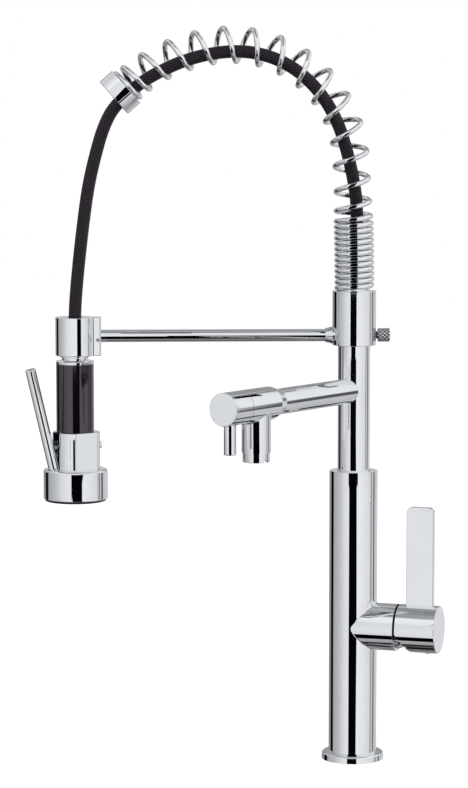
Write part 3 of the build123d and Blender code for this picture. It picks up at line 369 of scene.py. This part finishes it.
# One finish for each of the record's material slots, and two more: seamed_chrome for two pieces of
# the chrome slot, and knurled_steel for one of the dark_steel slot.
FINISHES = {
    "chrome": chrome("chrome", PLATE, PLATE_ROUGH, PLATE_WAVE),
    "spring_chrome": chrome("spring_chrome", (0.86, 0.87, 0.89), 0.004, 0.0000004),
    "seamed_chrome": seamed_chrome(),
    "knurled_steel": knurled_steel(),
    "steel": turned_metal("steel", (0.52, 0.52, 0.53), 0.28),
    "dark_steel": turned_metal("dark_steel", (0.22, 0.22, 0.24), 0.25),
    "brass": turned_metal("brass", (0.62, 0.46, 0.20), 0.30),
    "black_rubber": moulded("black_rubber", (0.012, 0.012, 0.013), 0.42),
    "nozzle_rubber": moulded("nozzle_rubber", (0.20, 0.20, 0.21), 0.55),
    "hose_braid": braid(),
    "grip_black": grip_plastic(),
    "white_plastic": moulded("white_plastic", (0.78, 0.78, 0.76), 0.38),
    "grey_plastic": moulded("grey_plastic", (0.30, 0.31, 0.32), 0.45),
    "black_plastic": moulded("black_plastic", (0.025, 0.025, 0.028), 0.40),
}


def dress(piece, finish):
    """Gives a piece one of the finishes."""
    piece.data.materials.clear()
    piece.data.materials.append(FINISHES[finish])


def dress_cad_nodes():
    """Every carried over CAD node gets its slot's finish, and the gap under the cap its painted
    shade.
    """
    for part in frame["record"]["subparts"]:
        dress(frame["nodes"][part["node"]], part["material_slot"])
    for node in ("mixer_body", "dome_cover"):
        dress(frame["nodes"][node], "seamed_chrome")


# ---------------------------------------------------------------- surfaces
def added(name, data):
    """A new object in the scene."""
    thing = bpy.data.objects.new(name, data)
    bpy.context.scene.collection.objects.link(thing)
    return thing


def surface(name, points, uv=None):
    """A skin through a grid of points (along, around, xyz), with a fan over each end ring."""
    rows, columns = points.shape[:2]
    numbers = np.arange(rows * columns).reshape(rows, columns)
    beside = np.roll(numbers, -1, 1)
    quads = np.stack((numbers[:-1], beside[:-1], beside[1:], numbers[1:]), -1).reshape(-1, 4)
    hub = np.full(columns, rows * columns)
    start = np.stack((beside[0], numbers[0], hub), -1)
    end = np.stack((numbers[-1], beside[-1], hub + 1), -1)
    vertices = np.vstack((points.reshape(-1, 3), points[0].mean(0), points[-1].mean(0)))
    mesh = bpy.data.meshes.new(name)
    mesh.from_pydata(vertices, [], quads.tolist() + start.tolist() + end.tolist())
    if uv is not None:
        spread = np.zeros((len(mesh.loops), 2), np.float32)
        corners = np.stack((uv[:-1, :-1], uv[:-1, 1:], uv[1:, 1:], uv[1:, :-1]), 2).reshape(-1, 2)
        spread[:len(corners)] = corners
        mesh.uv_layers.new(name="wrap").data.foreach_set("uv", spread.ravel())
    mesh.polygons.foreach_set("use_smooth", np.ones(len(mesh.polygons), bool))
    mesh.update()
    return added(name, mesh)


def unit(vectors):
    return vectors / np.linalg.norm(vectors, axis=-1, keepdims=True)


def smooth_step(share):
    share = np.clip(share, 0.0, 1.0)
    return share * share * (3 - 2 * share)


def route_line(name, route, step):
    """Points a step apart along the smooth NURBS curve that a route in the XZ plane controls."""
    curve = bpy.data.curves.new(name, "CURVE")
    curve.dimensions = "3D"
    spline = curve.splines.new("NURBS")
    spline.points.add(len(route) - 1)
    for point, (out, height) in zip(spline.points, route):
        point.co = (-out, 0.0, height, 1.0)
    spline.order_u = 3
    spline.use_endpoint_u = True
    curve.resolution_u = ROUTE_STEPS
    guide = added(name, curve)
    graph = bpy.context.evaluated_depsgraph_get()
    line = bpy.data.meshes.new_from_object(guide.evaluated_get(graph))
    points = np.array([vertex.co for vertex in line.vertices])
    bpy.data.objects.remove(guide)
    bpy.data.meshes.remove(line)
    lengths = np.cumsum(np.linalg.norm(np.diff(points, axis=0), axis=1))
    lengths = np.concatenate(([0.0], lengths))
    even = np.linspace(0.0, lengths[-1], int(lengths[-1] / step) + 1)
    return np.stack([np.interp(even, lengths, points[:, axis]) for axis in range(3)], -1), even


def braided_hose(name, route, start):
    """A hose: rings of radius HOSE_R round a line in the XZ plane.

    The braid's UV map counts its cells along and around the hose, from start metres on.
    """
    line, travel = route_line(name + "_line", route, HOSE_STEP)
    way = unit(np.gradient(line, axis=0))
    up = np.cross(ACROSS, way)
    turn = np.linspace(0, 2 * pi, HOSE_SIDES, endpoint=False)
    spokes = up[:, None] * np.cos(turn)[None, :, None] - ACROSS * np.sin(turn)[None, :, None]
    along = ((travel + start) / BRAID_PITCH)[:, None]
    around = (np.arange(HOSE_SIDES + 1) * BRAID_AROUND / HOSE_SIDES)[None, :]
    cells = np.stack(np.broadcast_arrays(along, around), -1)
    piece = surface(name, line[:, None] + spokes * HOSE_R, cells)
    dress(piece, "hose_braid")
    return piece, line, travel[-1]


def arch(distance):
    """The spring's centre line: places at distances along it, the way out of the bend, its length.

    On each arc of radius R the direction turns from lean to end: x grows by R (cos lean - cos turn)
    and z by R (sin turn - sin lean). Past the last arc the line goes on straight.
    """
    length, r, z, lean = 0.0, 0.0, COLLAR_TOP, 0.0
    places = np.zeros((len(distance), 3))
    outward = np.zeros((len(distance), 3))
    for number, (radius, end) in enumerate(ARCH_ARCS):
        end = radians(end)
        span = radius * (end - lean)
        begun = (distance >= length) | (number == 0)
        inside = begun & ((distance < length + span) | (number == len(ARCH_ARCS) - 1))
        turn = lean + np.minimum(distance[inside] - length, span) / radius
        beyond = np.maximum(distance[inside] - length - span, 0.0)
        x = r + radius * (cos(lean) - np.cos(turn)) + beyond * np.sin(turn)
        y = z + radius * (np.sin(turn) - sin(lean)) + beyond * np.cos(turn)
        level = np.zeros_like(x)
        places[inside] = np.stack((-x, level, y), -1)
        outward[inside] = np.stack((np.cos(turn), level, np.sin(turn)), -1)
        r, z = r + radius * (cos(lean) - cos(end)), z + radius * (sin(end) - sin(lean))
        lean, length = end, length + span
    return places, outward, length


def spring_wire():
    """The arch spring: a round wire whose centre circles the arch.

    Its pitch opens and closes smoothly, so that the open turns use up the arch's whole length.
    """
    turns = np.linspace(-CLOSED_TURNS, OPEN_TURNS + END_TURNS, WIRE_RINGS)
    length = arch(np.zeros(1))[2]
    fine = np.linspace(0, OPEN_TURNS, PITCH_STEPS)
    openness = smooth_step(fine / SPREAD_TURNS) * smooth_step((OPEN_TURNS - fine) / GATHER_TURNS)
    opened = np.cumsum((openness[1:] + openness[:-1]) / 2 * (fine[1] - fine[0]))
    opened = np.concatenate(([0.0], opened))
    start = SPRING_START + CLOSED_PITCH * CLOSED_TURNS
    extra = (length - start - OPEN_TURNS * CLOSED_PITCH) / opened[-1]
    travel = start + turns * CLOSED_PITCH + extra * np.interp(turns, fine, opened)
    places, outward, _ = arch(travel)
    coil = COIL_R_CLOSED + (COIL_R_OPEN - COIL_R_CLOSED) * smooth_step(turns / SPREAD_TURNS)
    angle = 2 * pi * turns
    spoke = outward * np.cos(angle)[:, None] + ACROSS * np.sin(angle)[:, None]
    line = places + spoke * coil[:, None]
    way = unit(np.gradient(line, axis=0))
    out = unit(spoke - way * (spoke * way).sum(1, keepdims=True))
    beside = np.cross(way, out)
    turn = np.linspace(0, 2 * pi, WIRE_SIDES, endpoint=False)[None, :, None]
    rings = out[:, None] * np.cos(turn) + beside[:, None] * np.sin(turn)
    piece = surface("arch_spring_wire", line[:, None] + rings * WIRE_R)
    dress(piece, "spring_chrome")
    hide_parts("arch_spring")
    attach(piece, "arm_bracket")


def hoses():
    """Both stretches of the hose, one line from the column to the spray head."""
    inner, _, inner_length = braided_hose("hose_in_spring", HOSE_ARCH, 0.0)
    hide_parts("hose_upper")
    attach(inner, "arm_bracket")
    drop, line, _ = braided_hose("hose_hanging", HOSE_FREE, inner_length)
    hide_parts("hose_drop")
    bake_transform(drop)


def thumb_screw():
    """A turned screw head whose rim is cut by two families of helical grooves.

    With c and s counting knurls along and around the rim, the groove g is
    (1 + max(-cos 2 pi (c + s), -cos 2 pi (c - s))) / 2, and the radius is
    KNURL_R - KNURL_DEPTH g ^ KNURL_SHARPNESS.
    """
    knurled = np.linspace(KNURL_FROM, KNURL_TO, KNURL_RINGS)
    rim = np.stack((knurled, np.full(KNURL_RINGS, KNURL_R)), -1)
    places, radii = np.concatenate((THUMB_STEM, rim, THUMB_END)).T
    turn = np.linspace(0, 2 * pi, THUMB_SIDES, endpoint=False)
    climb = ((places - KNURL_START) / KNURL_PITCH)[:, None]
    sweep = (turn * KNURLS / (2 * pi))[None, :]
    up, down = (-np.cos(2 * pi * turns) for turns in (climb + sweep, climb - sweep))
    groove = np.maximum(up, down) * 0.5 + 0.5
    cut = slice(len(THUMB_STEM), len(THUMB_STEM) + KNURL_RINGS)
    depth = np.zeros((len(places), THUMB_SIDES))
    depth[cut] = groove[cut] ** KNURL_SHARPNESS * KNURL_DEPTH
    reach = radii[:, None] - depth
    points = np.stack((
        np.broadcast_to(places[:, None], reach.shape),
        reach * np.cos(turn), THUMB_Z + reach * np.sin(turn),
    ), -1)
    wrap = np.stack(np.broadcast_arrays(climb, np.append(sweep, [[KNURLS]], axis=1)), -1)
    piece = surface("thumb_screw_knurled", points, wrap)
    dress(piece, "knurled_steel")
    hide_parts("thumb_screw")
    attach(piece, "thumb_knob")


def head_cheeks():
    """A flat with the round body's curve at both sides, carried up to a rounded top edge.

    Section: the circle of HEAD_R from height CHEEK_ROOT, a fillet of CHEEK_ROUND, the flat at
    CHEEK_FACE, and the same mirrored. Each ring of the top edge moves in along the section's
    normals by r (1 - cos t) and up by r sin t.
    """
    inner = CHEEK_FACE - CHEEK_ROUND
    middle = np.array((np.sqrt((HEAD_R - CHEEK_ROUND) ** 2 - inner ** 2), inner))
    corner = np.arctan2(middle[1], middle[0])
    on_round = np.linspace(np.arcsin(CHEEK_ROOT / HEAD_R), corner, ROUND_STEPS)
    facing = np.concatenate((on_round, np.linspace(corner, pi / 2, FILLET_STEPS)))
    normals = np.stack((np.cos(facing), np.sin(facing)), -1)
    half = np.concatenate((
        normals[:ROUND_STEPS] * HEAD_R, middle + normals[ROUND_STEPS:] * CHEEK_ROUND,
    ))
    places = np.linspace(middle[0], -middle[0], FLAT_STEPS + 2)[1:-1]
    flat = np.stack((places, np.full(FLAT_STEPS, CHEEK_FACE)), -1)
    section = np.concatenate((half, flat, half[::-1] * (-1, 1)))
    ahead = np.tile((0.0, 1.0), (FLAT_STEPS, 1))
    facing_out = np.concatenate((normals, ahead, normals[::-1] * (-1, 1)))
    bend = np.linspace(0, pi / 2, TOP_STEPS)
    heights = np.concatenate((
        (CHEEK_FOOT, CHEEK_FOOT + CHEEK_FOOT_RING),
        CHEEK_TOP - CHEEK_TOP_ROUND * (1 - np.sin(bend)), (CHEEK_TOP,),
    ))
    inset = np.concatenate((
        (0.0, 0.0), CHEEK_TOP_ROUND * (1 - np.cos(bend)), (CHEEK_TOP_ROUND + CHEEK_TOP_RING,),
    ))
    rings = section[None] - facing_out[None] * inset[:, None, None]
    for name, sign in (("head_cheek_front", 1), ("head_cheek_back", -1)):
        out, beside = sign * rings[..., 0] - HEAD_BACK, sign * rings[..., 1]
        piece = surface(name, np.stack((
            HEAD_X + out * cos(HEAD_TURN) - beside * sin(HEAD_TURN),
            out * sin(HEAD_TURN) + beside * cos(HEAD_TURN),
            np.broadcast_to(heights[:, None], out.shape),
        ), -1))
        dress(piece, "chrome")
        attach(piece, "spray_head")


# ---------------------------------------------------------------- studio
# Light of the studio wall round the faucet at eye level, as (heading, level). Headings are degrees
# anticlockwise from the photograph's camera.
WALL = (
    (-180, 0.42), (-157, 0.34), (-135, 0.28), (-131, 0.0), (-113, 0.0), (-109, 0.45), (-85, 0.54),
    (-68, 0.64), (-46, 0.84), (-29, 0.92), (20, 1.0), (60, 0.90), (87, 0.80), (91, 0.34),
    (95, 0.34), (98, 0.66), (108, 0.64), (121, 0.66), (138, 0.62), (144, 0.82), (152, 0.76),
    (158, 0.46), (180, 0.42),
)
# The same wall higher up, without the narrow dark posts, and the lifts between which one gives way
# to the other. Lifts are degrees above the horizon.
UPPER = (
    (-180, 0.62), (-150, 0.52), (-110, 0.42), (-65, 0.66), (-25, 0.92), (40, 1.0), (120, 0.97),
    (150, 0.92), (162, 0.55), (180, 0.62),
)
WALL_TO_UPPER = (1, 5)
# Floor to ceiling, as (lift, level).
RISE = (
    (-90, 0.26), (-76, 0.30), (-74, 0.03), (-69, 0.03), (-67, 0.50), (-49, 0.56), (-30, 0.94),
    (-10, 1.0), (55, 0.95), (58, 0.50), (63, 0.48), (66, 0.58), (90, 0.50),
)
# Strips of the wall, as two bands (from, to, softness) of heading and of lift, and a strength.
DARK_STRIPS = (
    ((-100, 30, 8.0), (-51, -32, 1.0), 1.0),  # kerb
    ((109, 119, 1.5), (-14, 1, 1.5), 0.84),  # post
    ((137, 149, 3.0), (0, 34, 2.0), 0.72),  # post behind it
    ((-14, 30, 3.0), (-60, -50, 1.0), 1.0),  # shelf
    ((-24, 40, 4.0), (56, 70, 2.0), 0.75),  # beam
)
BRIGHT_STRIPS = (
    ((-155, -35, 10.0), (26, 52, 4.0), 0.30),  # skylight
    ((-82, -64, 2.0), (-6.9, -5.3, 0.25), 0.22),  # window low on the left
)
# Dark loft across the back: the distance from ahead at which it begins, its lift, its strength.
LOFT_AWAY, LOFT_LIFT, LOFT_STRENGTH = (150, 160), (10, 46, 3.0), 0.40
STUDIO_TINT, EVEN_LIGHT = (0.972, 0.985, 1.0), (0.80, 0.80, 0.80)
FLOOR_HALF, FLOOR_COLOUR, FLOOR_GLOW = 4.0, (0.8, 0.8, 0.8), 0.42

# The dark boards beside the camera, whose reflection is the black stripe: the direction of their
# middle, and their panels as (distance, left, right, foot, top). The near ones are small: for the
# collar and the sleeve, for the closed turns of the spring, and for the ferrule at its end.
BOARD_HEADING, BOARD_COLOUR = radians(262.5), (0.0015, 0.001, 0.002)
BOARD_PANELS = (
    (0.92, -0.285, 0.300, -0.240, 0.262), (0.92, -0.345, -0.285, 0.110, 0.262),
    (0.92, 0.300, 0.400, 0.110, 0.262), (0.36, -0.108, 0.098, 0.309, 0.384),
    (0.050, -0.018, 0.018, 0.408, 0.550), (0.159, -0.180, -0.113, 0.512, 0.584),
)
# Square lamps as (name, place, width, watts).
LAMPS = (("key_lamp", (-1.2, -1.6, 2.0), 1.2, 18), ("fill_lamp", (1.6, -0.8, 1.2), 1.2, 8))


def profile(value, stops):
    """Level at an angle, from pairs of angle and level in rising order."""
    low, high = stops[0][0], stops[-1][0]
    levels = [((angle - low) / (high - low), rgb(level, level, level)) for angle, level in stops]
    inputs = {"Value": value, "From Min": low, "From Max": high}
    place = value.build.add("ShaderNodeMapRange", {}, inputs)
    return value.build.add("ShaderNodeValToRGB", {"stops": levels}, {"Fac": place})


def studio_world():
    """White to the camera, even light on dull surfaces, and a striped studio in reflections."""
    world = bpy.data.worlds.new("studio")
    bpy.context.scene.world = world
    world.use_nodes = True
    build = Build(world.node_tree)
    x, y, z = build.parts(build.add("ShaderNodeTexCoord", out="Generated"))
    lift = z.math("ARCSINE") * (180 / pi)
    heading = y.math("ARCTAN2", x) * (180 / pi) - VIEW_HEADING
    heading = heading.math("WRAP", 180.0, -180.0)

    wall = build.mix(lift.step(*WALL_TO_UPPER), profile(heading, WALL), profile(heading, UPPER))
    level = wall * profile(lift, RISE)
    for across, rise, strength in DARK_STRIPS:
        level = level * (1 - heading.band(*across) * lift.band(*rise) * strength)
    loft = heading.math("ABSOLUTE").step(*LOFT_AWAY) * lift.band(*LOFT_LIFT) * LOFT_STRENGTH
    level = level * (1 - loft)
    for across, rise, strength in BRIGHT_STRIPS:
        level = level + heading.band(*across) * lift.band(*rise) * strength
    tinted = {number: level * part for number, part in enumerate(STUDIO_TINT)}
    studio = build.add("ShaderNodeCombineColor", {}, tinted)

    camera_ray, glossy, through = build.outputs(
        "ShaderNodeLightPath", ("Is Camera Ray", "Is Glossy Ray", "Is Transmission Ray")
    )
    tone = build.mix(glossy.math("MAXIMUM", through), rgb(*EVEN_LIGHT), studio)
    tone = build.mix(camera_ray, tone, rgb(1, 1, 1))
    back = build.add("ShaderNodeBackground", {}, {"Color": tone, "Strength": 1.0})
    build.add("ShaderNodeOutputWorld", {}, {"Surface": back})


def panels(name, corners, finish):
    """Flat panels, from the four corners of each in turn."""
    mesh = bpy.data.meshes.new(name)
    mesh.from_pydata(corners, [], np.arange(len(corners)).reshape(-1, 4).tolist())
    mesh.materials.append(finish)
    return added(name, mesh)


def floor():
    """A pale floor that the camera sees as white, with the faucet's soft shadow."""
    made, build = material("floor")
    dull = build.add("ShaderNodeBsdfDiffuse", {}, {"Color": rgb(*FLOOR_COLOUR)})
    glow = build.add("ShaderNodeEmission", {}, {"Color": rgb(1, 1, 1), "Strength": FLOOR_GLOW})
    both = build.add("ShaderNodeAddShader", {}, {0: dull, 1: glow})
    camera_ray = build.add("ShaderNodeLightPath", out="Is Camera Ray")
    seen = build.add("ShaderNodeMixShader", {}, {0: camera_ray, 1: dull, 2: both})
    build.add("ShaderNodeOutputMaterial", {}, {"Surface": seen})
    signs = ((-1, -1), (1, -1), (1, 1), (-1, 1))
    plane = panels("floor", [(x * FLOOR_HALF, y * FLOOR_HALF, 0) for x, y in signs], made)
    plane.visible_glossy = False


def board():
    """The dark boards near the camera; only mirror-like surfaces see them."""
    made, build = material("board")
    black = build.add("ShaderNodeEmission", {}, {"Color": rgb(*BOARD_COLOUR), "Strength": 1.0})
    build.add("ShaderNodeOutputMaterial", {}, {"Surface": black})
    ahead = np.array((cos(BOARD_HEADING), sin(BOARD_HEADING), 0.0))
    side = np.array((-sin(BOARD_HEADING), cos(BOARD_HEADING), 0.0))
    up = np.array((0.0, 0.0, 1.0))
    plane = panels("board", [
        ahead * distance + side * across + up * height
        for distance, left, right, foot, top in BOARD_PANELS
        for across, height in ((left, foot), (right, foot), (right, top), (left, top))
    ], made)
    plane.visible_camera = plane.visible_diffuse = plane.visible_transmission = False


def lamp(name, place, width, power):
    """A soft square lamp that points at the faucet's middle and stays out of reflections."""
    light = bpy.data.lights.new(name, "AREA")
    light.size, light.energy = width, power
    holder = added(name, light)
    holder.location = place
    aim = Vector(VIEW_TARGET) - Vector(place)
    holder.rotation_euler = aim.to_track_quat("-Z", "Y").to_euler()
    holder.visible_glossy = False


def camera():
    """The photograph's camera."""
    turn = Matrix.Rotation(VIEW_YAW, 4, "Z")
    target = Vector(VIEW_TARGET)
    place = target + Vector((0, -cos(VIEW_DROP), sin(VIEW_DROP))) * VIEW_DISTANCE
    target, place = turn @ target, turn @ place
    data = bpy.data.cameras.new("camera")
    data.lens, data.sensor_width, data.clip_end = VIEW_LENS, VIEW_SENSOR, VIEW_END
    eye = added("camera", data)
    eye.location = place
    eye.rotation_euler = (target - place).to_track_quat("-Z", "Y").to_euler()
    bpy.context.scene.camera = eye


camera()
studio_world()
floor()
board()
for lamp_facts in LAMPS:
    lamp(*lamp_facts)
dress_cad_nodes()
spring_wire()
hoses()
thumb_screw()
head_cheeks()

bpy.context.scene.view_settings.view_transform = "Standard"
